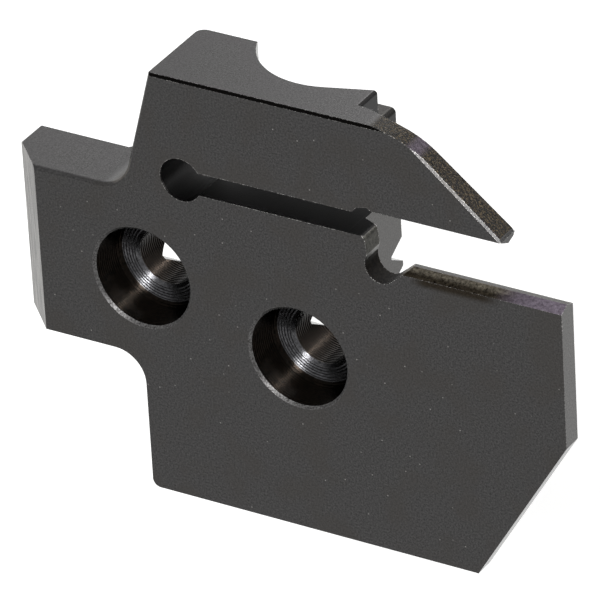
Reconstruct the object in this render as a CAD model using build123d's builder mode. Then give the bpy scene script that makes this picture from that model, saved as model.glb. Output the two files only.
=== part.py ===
from build123d import *
import os
from math import cos, radians, tan

os.makedirs("parts", exist_ok=True)

# Grooving blade, one piece of steel, screwed by its serrated back to the side of a holder.
# X runs towards the cutting end, Y from the front face into the steel, Z up.
# The origin is on the rear screw's axis, in the plane of the front face.

# Front outline
crown_height = 21.8         # rear screw to the top face
foot_depth = 22.35          # rear screw to the bottom edge
crown_start = 2.05          # rear screw to the top face's rear corner
neck_start = -1.45          # foot of the leaning rear wall, where it meets the tongue's top
tongue_end = -14.5
tongue_top = 9.05
tongue_bottom = -8.2
heel_start = -0.3           # upright rear wall under the tongue
heel_radius = 0.8
upper_notch_radius = 3.5
lower_notch_radius = 3.1

# Thickness of each zone
body_thickness = 9.3        # at the crown, whose back stands a little proud
seat_thickness = 9.07       # front face to the serrated seat
tongue_thickness = 6.8
root_thickness = 2.95       # blade where it joins the thick body
blade_thickness = 2.1
root_length = 3.65          # along the blade, while it thins from root to full relief
jaw_thickness = 2.6         # upper jaw at its tip
jaw_root_thickness = 2.75   # upper jaw where its hollow relief starts
jaw_root_length = 1.5
jaw_relief_length = 5.0     # body's wall to the upper jaw's thinnest place

# Screws
screw_spacing = 16.25
screw_drop = 4.3            # the front screw sits lower than the rear one
screw_radius = 2.9
head_radius = 5.0
head_depth = 4.15
head_corner = 0.45
head_rim = 0.25
screw_lead = 0.3

# Thick body behind the blade
wall_offset = 6.1           # front screw to the upright wall behind the blade
pad_start = -4.3            # rear edge of the serrated pad
pad_bottom = -11.0
relief_radius = 0.6

# Serrations across the back
serration_count = 5
serration_pitch = 3.0
serration_depth = 2.0
serration_root = 0.3
serration_angle = 29.0      # each flank from the groove's middle plane
top_serration = 3.95

# Scoop in the upper back
scoop_depth = 3.3           # from the top face down
scoop_radius = 7.6
scoop_from_wall = 7.05
scoop_land = 4.15           # steel left between the front face and the scoop
scoop_exit_angle = 18.0

# Blade and its front end
nose_reach = 21.4           # body's wall to the blade's front end
nose_foot = -6.55
toe_setback = 9.6           # bottom corner behind the blade's front end

# Jaws and insert pocket
stop_reach = 1.5            # body's wall to the insert stop
stop_lean = 0.22
stop_foot = 8.5
stop_undercut = 7.85
stop_radius = 0.5
upper_jaw_length = 14.0     # insert stop to the upper jaw's tip
upper_jaw_edge = 13.1
lower_jaw_edge = 7.3
lower_jaw_back = 7.45       # its rear edge stands a little higher
upper_jaw_back = 12.75      # its rear edge hangs a little lower
upper_jaw_back_run = 2.35   # front face to that edge
tip_height = 0.14
tip_radius = 0.8
upper_ridge = 0.65
upper_ridge_run = 1.4       # front face to the upper jaw's ridge
lower_ridge = 0.55
lower_ridge_run = 1.05
slope_angle = 40.65
shoulder_radius = 9.5
relief_reach = 1.55         # insert stop to the relief's centre
relief_floor = 5.87
relief_arc = 1.58
ramp_angle = 40.6
ramp_length = 2.75

# Clamping slot
slot_width = 2.3
slot_height = 11.47         # middle of the slot
slot_start = 4.9
slot_end_radius = 2.17
step_start = 0.4            # body's wall to the step in the slot's roof
step_run = 0.42
step_rise = 0.5
roof_run = 1.05
roof_rise = 0.26
jaw_run = 0.5               # from the roof's highest point to the jaw

# Edges
crown_edge_break = 0.25
slope_edge_break = 0.19
back_edge_break = 0.1
wall_edge_round = 0.35
scoop_edge_round = 0.5
tongue_edge_round = 0.4
tongue_end_round = 0.3
crown_back_round = 0.9
tongue_bevel = 3.6
clear = 5.0                 # how far each cutter stands out of the steel
near = 0.01                 # tolerance for picking edges
half_turn = 180.0
quarter_turn = 90.0

# Places worked out from the sizes above
wall_x = screw_spacing + wall_offset
nose_x = wall_x + nose_reach
toe_x = nose_x - toe_setback
stop_x = wall_x + stop_reach
tip_x = stop_x + upper_jaw_length
tip_top = upper_jaw_edge + tip_height
slope_x = tip_x - (crown_height - tip_top) / tan(radians(slope_angle))
slot_roof = slot_height + slot_width / 2
slot_sill = slot_height - slot_width / 2
relief_x = stop_x + relief_reach
relief_z = relief_floor + relief_arc
step_x = wall_x + step_start
step_z = slot_roof + step_rise
roof_x = step_x + step_run + roof_run
jaw_x = roof_x + jaw_run
scoop_x = wall_x - scoop_from_wall
scoop_floor = crown_height - scoop_depth
scoop_y = scoop_land + scoop_radius
behind = body_thickness + clear
rear_screw = Plane(origin=(0, 0, 0), x_dir=(1, 0, 0), z_dir=(0, -1, 0))
front_screw = Plane(origin=(screw_spacing, 0, -screw_drop), x_dir=(1, 0, 0), z_dir=(0, -1, 0))
slope_length = (tip_x - slope_x) / cos(radians(slope_angle))
up_the_slope = Plane(
    origin=(tip_x, 0, tip_top),
    x_dir=(0, 1, 0),
    z_dir=(slope_x - tip_x, 0, crown_height - tip_top),
)


def edge_through(part, x, z):
    """The front to back edge at this place in the outline."""
    return part.edges().filter_by(Axis.Y).sort_by_distance((x, 0, z))[0]


def rings(part, radius, depth):
    """The round edges of this radius at this distance behind the front face."""
    circles = part.edges().filter_by(GeomType.CIRCLE)
    level = circles.filter_by_position(Axis.Y, depth - near, depth + near)
    return level.filter_by(lambda edge: abs(edge.radius - radius) < near)


with BuildPart() as blade_body:
    # Whole front outline, as thick as the body
    with BuildSketch(Plane.XZ):
        with BuildLine():
            Polyline(
                (crown_start, crown_height),
                (slope_x, crown_height),
                (tip_x, tip_top),
                (tip_x, lower_jaw_edge),
                (nose_x, lower_jaw_edge),
                (nose_x, nose_foot),
                (toe_x, -foot_depth),
                (heel_start, -foot_depth),
                (heel_start, tongue_bottom),
                (tongue_end, tongue_bottom),
                (tongue_end, tongue_top),
                (neck_start, tongue_top),
                close=True,
            )
        make_face()
    extrude(amount=-body_thickness)
    fillet(edge_through(blade_body, neck_start, tongue_top), upper_notch_radius)
    fillet(edge_through(blade_body, heel_start, tongue_bottom), lower_notch_radius)
    fillet(edge_through(blade_body, heel_start, -foot_depth), heel_radius)
    fillet(edge_through(blade_body, slope_x, crown_height), shoulder_radius)
    fillet(edge_through(blade_body, tip_x, tip_top), tip_radius)

    # Front edges of the top face and the slope, broken by straight cuts that run out at the shoulder
    with BuildSketch(Plane.YZ.offset(neck_start)):
        Polygon(
            (-clear, crown_height - crown_edge_break - clear),
            (crown_edge_break + clear, crown_height + clear),
            (-clear, crown_height + clear),
            align=None,
        )
    extrude(amount=tip_x - neck_start, mode=Mode.SUBTRACT)
    with BuildSketch(up_the_slope.offset(-clear)):
        Polygon(
            (-clear, slope_edge_break + clear),
            (slope_edge_break + clear, -clear),
            (-clear, -clear),
            align=None,
        )
    extrude(amount=slope_length + 2 * clear, mode=Mode.SUBTRACT)

    # Bevel that makes the tongue's end a dovetail
    tongue_edges = blade_body.edges().filter_by(Axis.Z).sort_by_distance((tongue_end, 0, 0))
    chamfer(tongue_edges[0], tongue_bevel)

    # Back of the tongue, lower than the serrated pad
    with BuildSketch(Plane.XY.offset(-foot_depth)):
        with BuildLine():
            Polyline(
                (pad_start, behind),
                (pad_start, tongue_thickness + relief_radius),
                (pad_start - relief_radius, tongue_thickness),
                (tongue_end - clear, tongue_thickness),
                (tongue_end - clear, behind),
                close=True,
            )
        make_face()
    extrude(amount=foot_depth + crown_height, mode=Mode.SUBTRACT)

    # Steel taken away behind the blade, thinning in a hollow curve from the wall
    with BuildSketch(Plane.XY.offset(-foot_depth - clear)):
        with BuildLine():
            hollow = TangentArc(
                (wall_x + root_length, blade_thickness), (wall_x, root_thickness), tangent=(-1, 0)
            )
            Polyline(
                hollow @ 1,
                (wall_x, behind),
                (nose_x + clear, behind),
                (nose_x + clear, blade_thickness),
                hollow @ 0,
            )
        make_face()
    extrude(amount=foot_depth + slot_height + clear, mode=Mode.SUBTRACT)

    # Space between the jaws
    with BuildSketch(Plane.XZ):
        with BuildLine():
            Polyline(
                (jaw_x, upper_jaw_edge),
                (jaw_x, lower_jaw_edge),
                (nose_x + clear, lower_jaw_edge),
                (nose_x + clear, upper_jaw_edge),
                close=True,
            )
        make_face()
    extrude(amount=behind, both=True, mode=Mode.SUBTRACT)

    # Ridges along the jaws that centre the insert
    with BuildSketch(Plane.YZ.offset(jaw_x)):
        Polygon(
            (0, upper_jaw_edge),
            (jaw_thickness, upper_jaw_edge),
            (upper_jaw_back_run, upper_jaw_back),
            (upper_ridge_run, upper_jaw_edge - upper_ridge),
            align=None,
        )
    extrude(amount=tip_x - jaw_x)
    with BuildSketch(Plane.YZ.offset(relief_x)):
        Polygon(
            (0, lower_jaw_edge),
            (blade_thickness, lower_jaw_edge),
            (blade_thickness, lower_jaw_back),
            (lower_ridge_run, lower_jaw_edge + lower_ridge),
            align=None,
        )
    extrude(amount=nose_x - relief_x)

    # The hollow behind the upper jaw, which thickens again towards its tip
    with BuildSketch(Plane.XY.offset(slot_height)):
        with BuildLine():
            waist = (wall_x + jaw_relief_length, blade_thickness)
            jaw_hollow = TangentArc(waist, (wall_x + jaw_root_length, jaw_root_thickness), tangent=(-1, 0))
            Polyline(
                jaw_hollow @ 1,
                (wall_x, root_thickness),
                (wall_x, behind),
                (tip_x, behind),
                (tip_x, jaw_thickness),
                waist,
            )
        make_face()
    extrude(amount=crown_height - slot_height + clear, mode=Mode.SUBTRACT)
    slope_back = ((slope_x + tip_x) / 2, (blade_thickness + jaw_thickness) / 2, (crown_height + tip_top) / 2)
    chamfer(blade_body.edges().sort_by_distance(slope_back)[0], back_edge_break)

    # Steel taken away below the serrated pad
    with BuildSketch(Plane.YZ.offset(heel_start - clear)):
        with BuildLine():
            Polyline(
                (behind, pad_bottom),
                (blade_thickness + relief_radius, pad_bottom),
                (blade_thickness, pad_bottom - relief_radius),
                (blade_thickness, -foot_depth - clear),
                (behind, -foot_depth - clear),
                close=True,
            )
        make_face()
    extrude(amount=nose_x - heel_start + 2 * clear, mode=Mode.SUBTRACT)

    # Scoop in the upper back
    with BuildSketch(Plane.XY.offset(scoop_floor)):
        with BuildLine():
            bowl = CenterArc(
                (scoop_x, scoop_y), scoop_radius, half_turn, quarter_turn + scoop_exit_angle
            )
            ramp_out = PolarLine(bowl @ 1, scoop_from_wall + clear, scoop_exit_angle)
            Polyline(
                ramp_out @ 1,
                (scoop_x + scoop_from_wall + clear, behind),
                (scoop_x - scoop_radius, behind),
                bowl @ 0,
            )
        make_face()
    extrude(amount=crown_height - scoop_floor + clear, mode=Mode.SUBTRACT)

    # Serrated seat, a little in front of the crown's back
    crown_back = ((neck_start + crown_start) / 2, body_thickness, (tongue_top + crown_height) / 2)
    fillet(blade_body.edges().sort_by_distance(crown_back)[0], crown_back_round)
    with BuildSketch(Plane.YZ.offset(tongue_end)):
        with BuildLine():
            Polyline(
                (seat_thickness, scoop_floor),
                (behind, scoop_floor),
                (behind, -foot_depth),
                (seat_thickness, -foot_depth),
                close=True,
            )
        make_face()
    extrude(amount=nose_x - tongue_end, mode=Mode.SUBTRACT)

    # Serrations that lock the blade to its holder
    with BuildSketch(Plane.YZ.offset(tongue_end - clear)):
        with Locations(
            *[(seat_thickness, top_serration - row * serration_pitch) for row in range(serration_count)]
        ):
            mouth = serration_root / 2 + (serration_depth + clear) * tan(radians(serration_angle))
            Polygon(
                (-serration_depth, -serration_root / 2),
                (clear, -mouth),
                (clear, mouth),
                (-serration_depth, serration_root / 2),
                align=None,
            )
    extrude(amount=wall_x - tongue_end + 2 * clear, mode=Mode.SUBTRACT)

    # Clamping slot, insert stop and the relief under the stop, cut through everything
    with BuildSketch(Plane.XZ):
        with BuildLine():
            relief = CenterArc((relief_x, relief_z), relief_arc, half_turn, quarter_turn + ramp_angle)
            ramp = PolarLine(relief @ 1, ramp_length, ramp_angle)
            Polyline(
                ramp @ 1,
                (jaw_x, upper_jaw_edge),
                (roof_x, step_z + roof_rise),
                (step_x + step_run, step_z),
                (step_x, slot_roof),
                (slot_start, slot_roof),
                (slot_start, slot_sill),
                (stop_x, slot_sill),
                (stop_x + stop_lean, stop_foot),
                (relief_x - relief_arc, stop_undercut),
                relief @ 0,
            )
        make_face()
    extrude(amount=behind, both=True, mode=Mode.SUBTRACT)
    with BuildSketch(Plane.XZ):
        with Locations((slot_start, slot_height)):
            Circle(slot_end_radius)
    extrude(amount=behind, both=True, mode=Mode.SUBTRACT)
    fillet(edge_through(blade_body, stop_x, slot_sill), stop_radius)

    # Corner between the scoop's floor and the wall, and the wall's top corner
    fillet(
        blade_body.edges().filter_by(Axis.Y).sort_by_distance((wall_x, seat_thickness, scoop_floor))[0],
        scoop_edge_round,
    )
    fillet(
        blade_body.edges().filter_by(Axis.Y).sort_by_distance((wall_x, root_thickness, crown_height))[0],
        wall_edge_round,
    )

    # Top edge of the tongue's end
    tongue_corner = (tongue_end, (tongue_bevel + tongue_thickness) / 2, tongue_top)
    fillet(blade_body.edges().sort_by_distance(tongue_corner)[0], tongue_end_round)

    # Front edge of the tongue's top
    tongue_front = (tongue_end / 2, 0, tongue_top)
    fillet(blade_body.edges().sort_by_distance(tongue_front)[0], tongue_edge_round)

    # Screw holes with flat seats for the heads
    with Locations(rear_screw, front_screw):
        CounterBoreHole(screw_radius, head_radius, head_depth)
    fillet(rings(blade_body, head_radius, head_depth), head_corner)
    chamfer(rings(blade_body, screw_radius, head_depth), screw_lead)
    chamfer(rings(blade_body, head_radius, 0), head_rim)

blade_body.part.label = "blade_body"
export_step(blade_body.part, "parts/blade_body.step")
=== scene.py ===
# Looks for the grooving blade: finish, camera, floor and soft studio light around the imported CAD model.
# Everything is in metres, in the CAD frame: X to the cutting end, Y into the steel, Z up.
from math import pi, sqrt

import bpy
from mathutils import Matrix, Vector


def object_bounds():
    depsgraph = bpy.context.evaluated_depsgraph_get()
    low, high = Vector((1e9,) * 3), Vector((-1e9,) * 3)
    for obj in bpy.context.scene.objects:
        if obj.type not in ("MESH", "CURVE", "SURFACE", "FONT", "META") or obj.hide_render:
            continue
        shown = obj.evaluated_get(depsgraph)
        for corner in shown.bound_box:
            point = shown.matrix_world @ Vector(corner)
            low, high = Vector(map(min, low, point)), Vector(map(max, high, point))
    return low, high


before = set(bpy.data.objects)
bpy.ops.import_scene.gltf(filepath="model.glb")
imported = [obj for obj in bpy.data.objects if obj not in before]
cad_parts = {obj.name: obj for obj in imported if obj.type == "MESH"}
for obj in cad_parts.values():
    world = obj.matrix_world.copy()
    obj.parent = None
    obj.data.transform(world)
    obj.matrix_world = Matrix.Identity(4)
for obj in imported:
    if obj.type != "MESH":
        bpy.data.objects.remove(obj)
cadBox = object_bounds()
print("stage 1: frame loaded, nodes", sorted(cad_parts))

mm = 0.001
plainMath = "ShaderNodeMath"
vectorMath = "ShaderNodeVectorMath"
soft = {"interpolation_type": "SMOOTHSTEP"}      # eases a Map Range in and out


# sRGB hex to linear light: the low end divided by 12.92, the rest by the 2.4 power curve
def fromHex(text):
    parts = [int(text[i:i + 2], 16) / 255 for i in (1, 3, 5)]
    return tuple(c / 12.92 if c <= 0.04045 else ((c + 0.055) / 1.055) ** 2.4 for c in parts) + (1.0,)


# One node, with its settings, and each input either a value or the socket that feeds it. By number, a Mix
# node's inputs are 0 the factor, 2 and 3 values, 4 and 5 vectors, and 6 and 7 colours.
def addNode(tree, kind, settings=None, inputs=None):
    node = tree.nodes.new(kind)
    for name, value in (settings or {}).items():
        setattr(node, name, value)
    for name, value in (inputs or {}).items():
        socket = node.inputs[name]
        if isinstance(value, bpy.types.NodeSocket):
            tree.links.new(value, socket)
        else:
            socket.default_value = value
    return node


def newTree(name):
    material = bpy.data.materials.new(name)
    material.use_nodes = True
    material.node_tree.nodes.clear()
    return material, material.node_tree


# Black oxide on machined tool steel. Grinding leaves the flats satin dark grey with a faint grain, the
# milled slope under thin oxide stays brown and speckled, and turned bores are glossy black with fine rings.
oxide = {
    "groundDark": "#2d2d2d", "groundLight": "#494848",
    "roughness": 0.27, "roughnessDrift": 0.02, "driftLow": 0.3, "driftHigh": 0.7,
    "cloudMm": 5.0, "cloudDetail": 4.0,
    "cloudWarm": "#3b3835", "cloudShare": 0.35, "warmLow": 0.45, "warmHigh": 0.65,
    "grainHeight": 0.0022, "pitHeight": 0.012,                  # in mm
    "crumb": "#8f8d8a", "crumbMm": 1.3, "crumbReach": 0.07,     # tiny bright specks, few and far between
    "edgeBare": "#c6c4c1", "edgeMm": 0.12, "edgeShare": 0.9,    # oxide rubbed thin along sharp edges
    "edgeFlat": 0.99, "edgeSharp": 0.85, "edgeSamples": 6,      # cosines where wear starts and is full
    "wornFrom": 5.5, "wornFade": 0.5, "wornBelow": 0.3,         # mostly on the jaws, above this height in mm
    "screws": ((0.0, 0.0), (16.25, -4.3)),                      # x and z of the two screws in mm
    "anisotropy": 0.5, "scratchesAcross": (1.0, 0.3, 0.1),      # across the scratches of the ground faces
}


# Distance from the nearer screw's axis in mm, and the way outwards from it
def nearerScrew(tree, spot):
    arms = []
    for screwX, screwZ in oxide["screws"]:
        arm = addNode(tree, vectorMath, {"operation": "SUBTRACT"}, {
            0: spot, 1: (screwX, 0.0, screwZ)}).outputs[0]
        arm = addNode(tree, vectorMath, {"operation": "MULTIPLY"}, {0: arm, 1: (1.0, 0.0, 1.0)}).outputs[0]
        length = addNode(tree, vectorMath, {"operation": "LENGTH"}, {0: arm}).outputs["Value"]
        arms.append((arm, length))
    (leftArm, leftLength), (rightArm, rightLength) = arms
    nearRight = addNode(tree, plainMath, {"operation": "LESS_THAN"}, {
        0: rightLength, 1: leftLength}).outputs[0]
    outwards = addNode(tree, "ShaderNodeMix", {"data_type": "VECTOR"}, {
        0: nearRight, 4: leftArm, 5: rightArm}).outputs[1]
    outwards = addNode(tree, vectorMath, {"operation": "NORMALIZE"}, {0: outwards}).outputs[0]
    radius = addNode(tree, plainMath, {"operation": "MINIMUM"}, {0: leftLength, 1: rightLength}).outputs[0]
    return radius, outwards


# Patterns of the finish, each from its low noise value to its high one. Real grinding grit is finer than
# the grain and the streaks, which are this coarse so that they show. A stretch below 1 draws a pattern out
# along Z.
patternNoise = {
    "grain": {"mm": 0.18, "detail": 3.0, "roughness": 0.6, "low": 0.3, "high": 0.7, "stretch": 1.0},
    "speckle": {"mm": 0.3, "detail": 4.0, "roughness": 0.75, "low": 0.35, "high": 0.65, "stretch": 1.0},
    "specks": {"mm": 0.17, "detail": 3.0, "roughness": 0.7, "low": 0.5, "high": 0.62, "stretch": 1.0},
    "streaks": {"mm": 0.16, "detail": 2.0, "roughness": 0.5, "low": 0.35, "high": 0.65, "stretch": 0.04},
}


# Grain, speckle, specks and long streaks, each from 0 to 1
def finishPatterns(tree, spot):
    patterns = {}
    for name, noise in patternNoise.items():
        stretched = addNode(tree, vectorMath, {"operation": "MULTIPLY"}, {
            0: spot, 1: (1.0, 1.0, noise["stretch"])}).outputs[0]
        value = addNode(tree, "ShaderNodeTexNoise", {}, {
            "Vector": stretched, "Scale": 1 / noise["mm"], "Detail": noise["detail"],
            "Roughness": noise["roughness"]}).outputs[0]
        patterns[name] = addNode(tree, "ShaderNodeMapRange", {}, {
            "Value": value, "From Min": noise["low"], "From Max": noise["high"]}).outputs[0]
    return patterns


# Colour and roughness of the ground flats, with broad warm clouds and a few bright specks
def groundFlats(tree, spot, grain):
    cloud = addNode(tree, "ShaderNodeTexNoise", {}, {
        "Vector": spot, "Scale": 1 / oxide["cloudMm"], "Detail": oxide["cloudDetail"]}).outputs[0]
    ground = addNode(tree, "ShaderNodeMix", {"data_type": "RGBA"}, {
        0: grain, 6: fromHex(oxide["groundDark"]), 7: fromHex(oxide["groundLight"])}).outputs[2]
    warmth = addNode(tree, "ShaderNodeMapRange", soft, {
        "Value": cloud, "From Min": oxide["warmLow"], "From Max": oxide["warmHigh"],
        "To Max": oxide["cloudShare"]}).outputs[0]
    colour = addNode(tree, "ShaderNodeMix", {"data_type": "RGBA"}, {
        0: warmth, 6: ground, 7: fromHex(oxide["cloudWarm"])}).outputs[2]
    rough = addNode(tree, "ShaderNodeMapRange", {}, {
        "Value": cloud, "From Min": oxide["driftLow"], "From Max": oxide["driftHigh"],
        "To Min": oxide["roughness"] - oxide["roughnessDrift"],
        "To Max": oxide["roughness"] + oxide["roughnessDrift"]}).outputs[0]
    crumbs = addNode(tree, "ShaderNodeTexVoronoi", {}, {
        "Vector": spot, "Scale": 1 / oxide["crumbMm"]}).outputs[0]
    crumbs = addNode(tree, "ShaderNodeMapRange", {}, {
        "Value": crumbs, "From Min": oxide["crumbReach"], "From Max": 0.0}).outputs[0]
    colour = addNode(tree, "ShaderNodeMix", {"data_type": "RGBA"}, {
        0: crumbs, 6: colour, 7: fromHex(oxide["crumb"])}).outputs[2]
    return colour, rough


# Machined faces and patches whose colour differs from the ground flats, later ones over earlier ones. Each
# limit names a place in mm or a part of the normal, and the two values between which the zone fades in. Dark
# and light are the colour and roughness at the pattern's two ends. Where a zone's colour is painted light or
# shade, its comment says so. The lilac zones, the brown band under the jaw and the flank's pale half are
# patches within a face, more lilac, browner or paler than the rest of it.
zones = [
    {"name": "groundBevel", "pattern": "streaks", "dark": ("#262423", 0.33), "light": ("#64615c", 0.24),
     "where": (("nx", -0.5, -0.65), ("ny", -0.5, -0.65))},
    # painted light: the tongue top is lighter than the crown top and the ground flats, making up for how the
    # light falls on it
    {"name": "tongueTopPaintedLight", "pattern": "grain", "dark": ("#383737", 0.27), "light": ("#525151", 0.27),
     "where": (("z", 8.9, 9.0), ("z", 9.3, 9.2), ("nz", 0.9, 0.97), ("x", 1.0, 0.5))},
    # painted highlight: the notch fillet is paler than the wall and tongue beside it, standing in for the
    # glint of light on the curved fillet
    {"name": "notchFilletPaintedHighlight", "pattern": "grain", "dark": ("#4c4945", 0.3), "light": ("#6b6762", 0.3),
     "where": (("nx", -0.2, -0.6), ("z", 9.1, 9.5), ("z", 12.6, 12.2), ("x", 2.0, 1.5))},
    {"name": "crownTop", "pattern": "grain", "dark": ("#2f2e2e", 0.27), "light": ("#4a4949", 0.27),
     "where": (("z", 21.6, 21.7), ("nz", 0.9, 0.97))},
    {"name": "rightEnd", "pattern": "grain", "dark": ("#3d3c3c", 0.27), "light": ("#595857", 0.27),
     "where": (("x", 41.0, 41.5), ("nx", 0.9, 0.97))},
    # painted shade: the wall above the slot is near-black beside the grey pocket wall, as dark as it looks
    # when seen at a flat angle
    {"name": "uprightWallPaintedShade", "pattern": "grain", "dark": ("#060607", 0.12), "light": ("#0e0e0f", 0.12),
     "where": (("nx", 0.8, 0.95), ("x", 23.0, 22.9), ("z", 12.0, 13.0))},
    {"name": "pocketWall", "pattern": "grain", "dark": ("#3d3c3b", 0.27), "light": ("#4f4e4d", 0.27),
     "where": (("nx", 0.8, 0.95), ("x", 23.0, 22.9), ("z", 12.0, 11.0))},
    {"name": "scoopFloor", "pattern": "grain", "dark": ("#211f1e", 0.3), "light": ("#34322f", 0.3),
     "where": (("nz", 0.8, 0.95), ("z", 19.2, 19.1), ("z", 17.5, 17.6))},
    # painted shade: the inside of the slot is near-black, the shade that falls deep in it
    {"name": "slotInsidePaintedShade", "pattern": "grain", "dark": ("#0b0b0b", 0.32), "light": ("#141313", 0.32),
     "where": (("ny", -0.6, -0.5), ("ny", 0.6, 0.5), ("y", 0.15, 0.25), ("x", 2.4, 2.6), ("x", 22.2, 22.0),
               ("z", 8.4, 8.6), ("z", 13.8, 13.6))},
    {"name": "milledSlope", "pattern": "specks", "dark": ("#050301", 0.5), "light": ("#3a3122", 0.42),
     "where": (("nx", 0.02, 0.1), ("nz", 0.55, 0.7), ("x", 23.0, 23.1), ("z", 11.5, 12.0))},
    # a lilac patch on the shoulder, within the face
    {"name": "lilacShoulder", "pattern": "speckle", "dark": ("#241f25", 0.46), "light": ("#39323a", 0.4),
     "where": (("nx", 0.08, 0.2), ("nz", 0.55, 0.7), ("x", 28.4, 29.1), ("x", 30.3, 29.6),
               ("z", 10.0, 10.5))},
    # painted shade: the slot's mouth is near-black too, like the inside of the slot
    {"name": "slotMouthPaintedShade", "pattern": "grain", "dark": ("#0b0b0b", 0.32), "light": ("#141313", 0.32),
     "where": (("x", 22.0, 22.2), ("x", 25.8, 25.6), ("z", 8.9, 9.1), ("z", 13.8, 13.6), ("y", 0.15, 0.25),
               ("nx", 0.6, 0.5), ("ny", 0.6, 0.5))},
    {"name": "insertStop", "pattern": "speckle", "dark": ("#181715", 0.42), "light": ("#403f3a", 0.36),
     "where": (("x", 22.5, 22.6), ("x", 25.6, 25.2), ("z", 7.7, 7.85), ("z", 11.5, 11.2),
               ("nx", 0.5, 0.7))},
    # painted shade: the relief arc is near-black, standing in for the dark that it mirrors in the pocket
    {"name": "pocketReliefPaintedShade", "pattern": "speckle", "dark": ("#030202", 0.75), "light": ("#120e09", 0.65),
     "where": (("x", 22.5, 22.6), ("x", 27.1, 26.9), ("z", 7.9, 7.75), ("z", 5.6, 5.75), ("ny", -0.9, -0.8),
               ("ny", 0.9, 0.8))},
    # a brown band on the front face, under the lower jaw's front edge
    {"name": "brownBandUnderJaw", "pattern": "grain", "dark": ("#1b1712", 0.35), "light": ("#2d2821", 0.35),
     "where": (("ny", -0.9, -0.97), ("z", 6.3, 7.0), ("z", 8.0, 7.8), ("x", 28.0, 30.0),
               ("x", 38.0, 35.5))},
    {"name": "lowerJawFlank", "pattern": "speckle", "dark": ("#0d0a07", 0.48), "light": ("#4a4338", 0.38),
     "where": (("nz", 0.55, 0.7), ("ny", 0.1, 0.0), ("z", 8.7, 8.5), ("x", 27.0, 27.2))},
    # a pale band on the back part of the lower jaw's flank
    {"name": "flankUpperHalf", "pattern": "speckle", "dark": ("#2f2b26", 0.46), "light": ("#9c9484", 0.36),
     "where": (("nz", 0.55, 0.7), ("ny", 0.1, 0.0), ("z", 8.7, 8.5), ("x", 27.0, 27.2), ("y", 0.3, 0.8))},
    {"name": "lowerJawBack", "pattern": "grain", "dark": ("#242220", 0.75), "light": ("#3a3835", 0.7),
     "where": (("nz", 0.3, 0.5), ("ny", 0.1, 0.2), ("z", 8.7, 8.5), ("x", 27.0, 27.2))},
    # a lilac patch on the right part of the lower jaw's flank
    {"name": "lilacFlank", "pattern": "speckle", "dark": ("#564e57", 0.45), "light": ("#827985", 0.38),
     "where": (("nz", 0.55, 0.7), ("ny", 0.1, 0.0), ("z", 8.7, 8.5), ("x", 36.5, 39.5))},
    # painted shade: the break along the top edge is near-black, standing in for the dark that it mirrors
    {"name": "topBreakPaintedShade", "pattern": "grain", "dark": ("#070606", 0.35), "light": ("#0e0d0c", 0.35),
     "where": (("z", 21.3, 21.4), ("nz", 0.99, 0.93), ("nz", 0.15, 0.35), ("x", 26.6, 26.4))},
    # painted shade: the break along the scoop's edge is near-black, standing in for the dark that it mirrors
    {"name": "scoopBreakPaintedShade", "pattern": "grain", "dark": ("#080706", 0.35), "light": ("#0f0d0b", 0.35),
     "where": (("z", 18.0, 18.1), ("z", 18.6, 18.5), ("nz", 0.98, 0.9), ("nx", 0.2, 0.4),
               ("x", 23.0, 22.9))},
    {"name": "bore", "pattern": "speckle", "dark": ("#070706", 0.17), "light": ("#16120f", 0.17),
     "where": (("radius", 5.4, 5.35), ("y", 0.26, 0.28), ("y", 4.5, 4.4))},
    {"name": "screwHole", "pattern": "speckle", "dark": ("#12100e", 0.2), "light": ("#231e1a", 0.2),
     "where": (("radius", 3.05, 2.98), ("y", 4.3, 4.4))},
    {"name": "headSeat", "pattern": "speckle", "dark": ("#2a2a2b", 0.26), "light": ("#525254", 0.22),
     "where": (("radius", 4.65, 4.55), ("y", 3.9, 4.0), ("ny", -0.6, -0.7))},
    {"name": "boreRim", "pattern": "grain", "dark": ("#242322", 0.46), "light": ("#686767", 0.44),
     "where": (("radius", 5.4, 5.3), ("y", 0.28, 0.26), ("ny", -0.95, -0.85))},
]


# Each zone's colour and roughness over those of the ground flats, and each zone's mask by name
def coverZones(tree, channels, patterns, colour, rough):
    masks = {}
    for zone in zones:
        mask, pattern = 1.0, patterns[zone["pattern"]]
        (darkColour, darkRough), (lightColour, lightRough) = zone["dark"], zone["light"]
        for channel, start, end in zone["where"]:
            limit = addNode(tree, "ShaderNodeMapRange", soft, {
                "Value": channels[channel], "From Min": start, "From Max": end}).outputs[0]
            mask = addNode(tree, plainMath, {"operation": "MULTIPLY"}, {0: limit, 1: mask}).outputs[0]
        tint = addNode(tree, "ShaderNodeMix", {"data_type": "RGBA"}, {
            0: pattern, 6: fromHex(darkColour), 7: fromHex(lightColour)}).outputs[2]
        colour = addNode(tree, "ShaderNodeMix", {"data_type": "RGBA"}, {
            0: mask, 6: colour, 7: tint}).outputs[2]
        gloss = addNode(tree, "ShaderNodeMix", {}, {0: pattern, 2: darkRough, 3: lightRough}).outputs[0]
        rough = addNode(tree, "ShaderNodeMix", {}, {0: mask, 2: rough, 3: gloss}).outputs[0]
        masks[zone["name"]] = mask
    return colour, rough, masks


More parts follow.
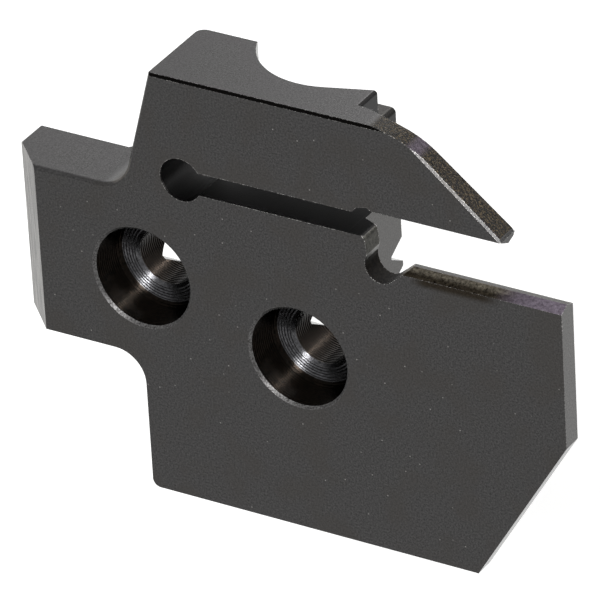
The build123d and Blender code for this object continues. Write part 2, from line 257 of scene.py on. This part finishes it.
# Oxide rubbed thin in specks where the surface turns sharply within the edge width
def rubEdges(tree, trueNormal, z, specks, colour):
    rounded = addNode(tree, "ShaderNodeBevel", {"samples": oxide["edgeSamples"]}, {
        "Radius": oxide["edgeMm"] * mm}).outputs[0]
    match = addNode(tree, vectorMath, {"operation": "DOT_PRODUCT"}, {
        0: rounded, 1: trueNormal}).outputs["Value"]
    worn = addNode(tree, "ShaderNodeMapRange", {}, {
        "Value": match, "From Min": oxide["edgeFlat"], "From Max": oxide["edgeSharp"],
        "To Max": oxide["edgeShare"]}).outputs[0]
    worn = addNode(tree, plainMath, {"operation": "MULTIPLY"}, {0: worn, 1: specks}).outputs[0]
    handled = addNode(tree, "ShaderNodeMapRange", soft, {
        "Value": z, "From Min": oxide["wornFrom"] - oxide["wornFade"],
        "From Max": oxide["wornFrom"] + oxide["wornFade"], "To Min": oxide["wornBelow"]}).outputs[0]
    worn = addNode(tree, plainMath, {"operation": "MULTIPLY"}, {0: worn, 1: handled}).outputs[0]
    return addNode(tree, "ShaderNodeMix", {"data_type": "RGBA"}, {
        0: worn, 6: colour, 7: fromHex(oxide["edgeBare"])}).outputs[2]


# Turning rings in the bores, drawn coarser and steeper than real ones so that they show. The surface starts
# to lean where the sine wave passes low and leans fully from high on. The leans run from 0 to 1.
rings = {"mm": 0.30, "low": -0.5, "high": -0.3, "wallLean": 0.95, "seatLean": 1.0}


# The normal leans over to the direction half way between inwards and forwards, as far as the wave says.
# Scratches run round the bores and up the ground faces, and the gloss spreads across them.
def turnRings(tree, normal, radius, y, outwards, masks):
    depth = addNode(tree, plainMath, {"operation": "ADD"}, {0: radius, 1: y}).outputs[0]
    turns = addNode(tree, plainMath, {"operation": "MULTIPLY"}, {
        0: depth, 1: 2 * pi / rings["mm"]}).outputs[0]
    wave = addNode(tree, plainMath, {"operation": "SINE"}, {0: turns}).outputs[0]
    wave = addNode(tree, "ShaderNodeMapRange", {}, {
        "Value": wave, "From Min": rings["low"], "From Max": rings["high"]}).outputs[0]
    leaning = addNode(tree, "ShaderNodeMix", {}, {
        0: masks["headSeat"], 2: rings["wallLean"], 3: rings["seatLean"]}).outputs[0]
    turned = addNode(tree, plainMath, {"operation": "MAXIMUM"}, {
        0: masks["bore"], 1: masks["screwHole"]}).outputs[0]
    leaning = addNode(tree, plainMath, {"operation": "MULTIPLY"}, {0: leaning, 1: turned}).outputs[0]
    leaning = addNode(tree, plainMath, {"operation": "MULTIPLY"}, {0: leaning, 1: wave}).outputs[0]
    mouth = addNode(tree, vectorMath, {"operation": "ADD"}, {0: outwards, 1: (0.0, 1.0, 0.0)}).outputs[0]
    mouth = addNode(tree, vectorMath, {"operation": "SCALE"}, {
        0: mouth, "Scale": -sqrt(0.5)}).outputs[0]       # turned about and brought to length 1
    leaned = addNode(tree, "ShaderNodeMix", {"data_type": "VECTOR"}, {
        0: leaning, 4: normal, 5: mouth}).outputs[1]
    leaned = addNode(tree, vectorMath, {"operation": "NORMALIZE"}, {0: leaned}).outputs[0]
    across = addNode(tree, "ShaderNodeMix", {"data_type": "VECTOR"}, {
        0: turned, 4: oxide["scratchesAcross"], 5: mouth}).outputs[1]
    return leaned, across


# Heights in mm on the leaned surface: grain everywhere, pits on the milled faces
def grainAndPits(tree, patterns, masks, leaned):
    milled = addNode(tree, plainMath, {"operation": "MAXIMUM"}, {
        0: masks["milledSlope"], 1: masks["lowerJawFlank"]}).outputs[0]
    pits = addNode(tree, plainMath, {"operation": "MULTIPLY"}, {0: patterns["speckle"], 1: milled}).outputs[0]
    pits = addNode(tree, plainMath, {"operation": "MULTIPLY"}, {0: pits, 1: oxide["pitHeight"]}).outputs[0]
    height = addNode(tree, plainMath, {"operation": "MULTIPLY_ADD"}, {
        0: patterns["grain"], 1: oxide["grainHeight"], 2: pits}).outputs[0]
    return addNode(tree, "ShaderNodeBump", {}, {
        "Height": height, "Strength": 1.0, "Distance": mm, "Normal": leaned}).outputs[0]


def blackOxideSteel():
    material, tree = newTree("blackOxideSteel")
    place = addNode(tree, "ShaderNodeTexCoord")
    geometry = addNode(tree, "ShaderNodeNewGeometry")
    spot = addNode(tree, vectorMath, {"operation": "SCALE"}, {
        0: place.outputs["Object"], "Scale": 1 / mm}).outputs[0]       # object coordinates in mm
    x, y, z = addNode(tree, "ShaderNodeSeparateXYZ", {}, {0: spot}).outputs
    nx, ny, nz = addNode(tree, "ShaderNodeSeparateXYZ", {}, {0: place.outputs["Normal"]}).outputs
    radius, outwards = nearerScrew(tree, spot)
    channels = {"x": x, "y": y, "z": z, "nx": nx, "ny": ny, "nz": nz, "radius": radius}
    patterns = finishPatterns(tree, spot)
    colour, rough = groundFlats(tree, spot, patterns["grain"])
    colour, rough, masks = coverZones(tree, channels, patterns, colour, rough)
    colour = rubEdges(tree, geometry.outputs["True Normal"], z, patterns["specks"], colour)
    leaned, across = turnRings(tree, geometry.outputs["Normal"], radius, y, outwards, masks)
    steel = addNode(tree, "ShaderNodeBsdfPrincipled", {}, {
        "Base Color": colour, "Metallic": 1.0, "Roughness": rough, "Tangent": across,
        "Normal": grainAndPits(tree, patterns, masks, leaned), "Anisotropic": oxide["anisotropy"]})
    addNode(tree, "ShaderNodeOutputMaterial", {}, {"Surface": steel.outputs[0]})
    return material


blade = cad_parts["blade_body"]
blade.data.materials.clear()
blade.data.materials.append(blackOxideSteel())
print("stage 2: steel finished")

# Camera at the photograph's viewing angle, with a long lens
lens = {
    "eye": (0.3207929, -0.4874659, 0.3413016),
    "right": (0.8625567, 0.5035493, -0.0493362),
    "ahead": (-0.4556069, 0.7306060, -0.5085638),
    "focalMm": 445.605,
    "sensorMm": 36.0,
    "nearest": 0.01, "farthest": 20.0,
}


def makeCamera():
    data = bpy.data.cameras.new("viewCamera")
    data.sensor_width = lens["sensorMm"]
    data.lens = lens["focalMm"]
    data.clip_start = lens["nearest"]
    data.clip_end = lens["farthest"]
    camera = bpy.data.objects.new("viewCamera", data)
    right, ahead = Vector(lens["right"]), Vector(lens["ahead"])
    turn = Matrix((right, right.cross(ahead), -ahead)).transposed()       # columns right, up and back
    camera.matrix_world = Matrix.Translation(Vector(lens["eye"])) @ turn.to_4x4()
    bpy.context.scene.collection.objects.link(camera)
    bpy.context.scene.camera = camera


makeCamera()
print("stage 3: camera set")

# Pale floor, white surround and two softboxes, one over the lens and a broad one low behind the blade
studio = {
    "floorBelow": 0.045,        # under the blade, which its screws carry, so it doesn't stand on the floor
    "floorHalf": 3.0,
    "floorPaint": "#e2e2e1",
    "floorFill": 0.5,           # added for eye and gloss rays, so that the lit floor reads white
    "roomLevel": 0.25,
    "lensBox": {"way": (0.30, -0.76, 0.57), "distance": 0.9, "size": 0.2, "watts": 6.5},
    "backBox": {"way": (0.1, 0.95, 0.22), "distance": 0.7, "size": 0.8, "watts": 7.8},
}


# 1 for camera, glossy and transmission rays, 0 for the rays that only carry light
def seenRays(tree):
    path = addNode(tree, "ShaderNodeLightPath")
    seen = addNode(tree, plainMath, {"operation": "MAXIMUM"}, {
        0: path.outputs["Is Camera Ray"], 1: path.outputs["Is Glossy Ray"]})
    seen = addNode(tree, plainMath, {"operation": "MAXIMUM"}, {
        0: seen.outputs[0], 1: path.outputs["Is Transmission Ray"]})
    return seen.outputs[0]


def makeFloor():
    h, z = studio["floorHalf"], cadBox[0][2] - studio["floorBelow"]
    mesh = bpy.data.meshes.new("studioFloor")
    mesh.from_pydata([(-h, -h, z), (h, -h, z), (h, h, z), (-h, h, z)], [], [(0, 1, 2, 3)])
    floor = bpy.data.objects.new("studioFloor", mesh)
    bpy.context.scene.collection.objects.link(floor)
    material, tree = newTree("paleFloorPaint")
    paint = addNode(tree, "ShaderNodeBsdfDiffuse", {}, {"Color": fromHex(studio["floorPaint"])})
    fill = addNode(tree, plainMath, {"operation": "MULTIPLY"}, {
        0: seenRays(tree), 1: studio["floorFill"]})
    glow = addNode(tree, "ShaderNodeEmission", {}, {"Strength": fill.outputs[0]})
    both = addNode(tree, "ShaderNodeAddShader", {}, {0: paint.outputs[0], 1: glow.outputs[0]})
    addNode(tree, "ShaderNodeOutputMaterial", {}, {"Surface": both.outputs[0]})
    mesh.materials.append(material)


def makeRoom():
    world = bpy.data.worlds.new("studioRoom")
    bpy.context.scene.world = world
    world.use_nodes = True
    tree = world.node_tree
    tree.nodes.clear()
    level = addNode(tree, "ShaderNodeMapRange", {}, {
        "Value": seenRays(tree), "To Min": studio["roomLevel"], "To Max": 1.0})
    white = addNode(tree, "ShaderNodeBackground", {}, {
        "Color": (1, 1, 1, 1), "Strength": level.outputs[0]})
    addNode(tree, "ShaderNodeOutputWorld", {}, {"Surface": white.outputs[0]})


# A square softbox facing the blade's middle
def makeSoftbox(name, box):
    data = bpy.data.lights.new(name, "AREA")
    data.shape = "SQUARE"
    data.size = box["size"]
    data.energy = box["watts"]
    lamp = bpy.data.objects.new(name, data)
    middle = Vector([(low + high) / 2 for low, high in zip(*cadBox)])
    way = Vector(box["way"]).normalized()
    lamp.location = middle + way * box["distance"]
    lamp.rotation_euler = way.to_track_quat("Z", "Y").to_euler()
    lamp.visible_camera = False
    bpy.context.scene.collection.objects.link(lamp)


makeFloor()
makeRoom()
makeSoftbox("lensSoftbox", studio["lensBox"])
makeSoftbox("backSoftbox", studio["backBox"])
bpy.context.scene.view_settings.view_transform = "Standard"
print("stage 4: floor and light set")
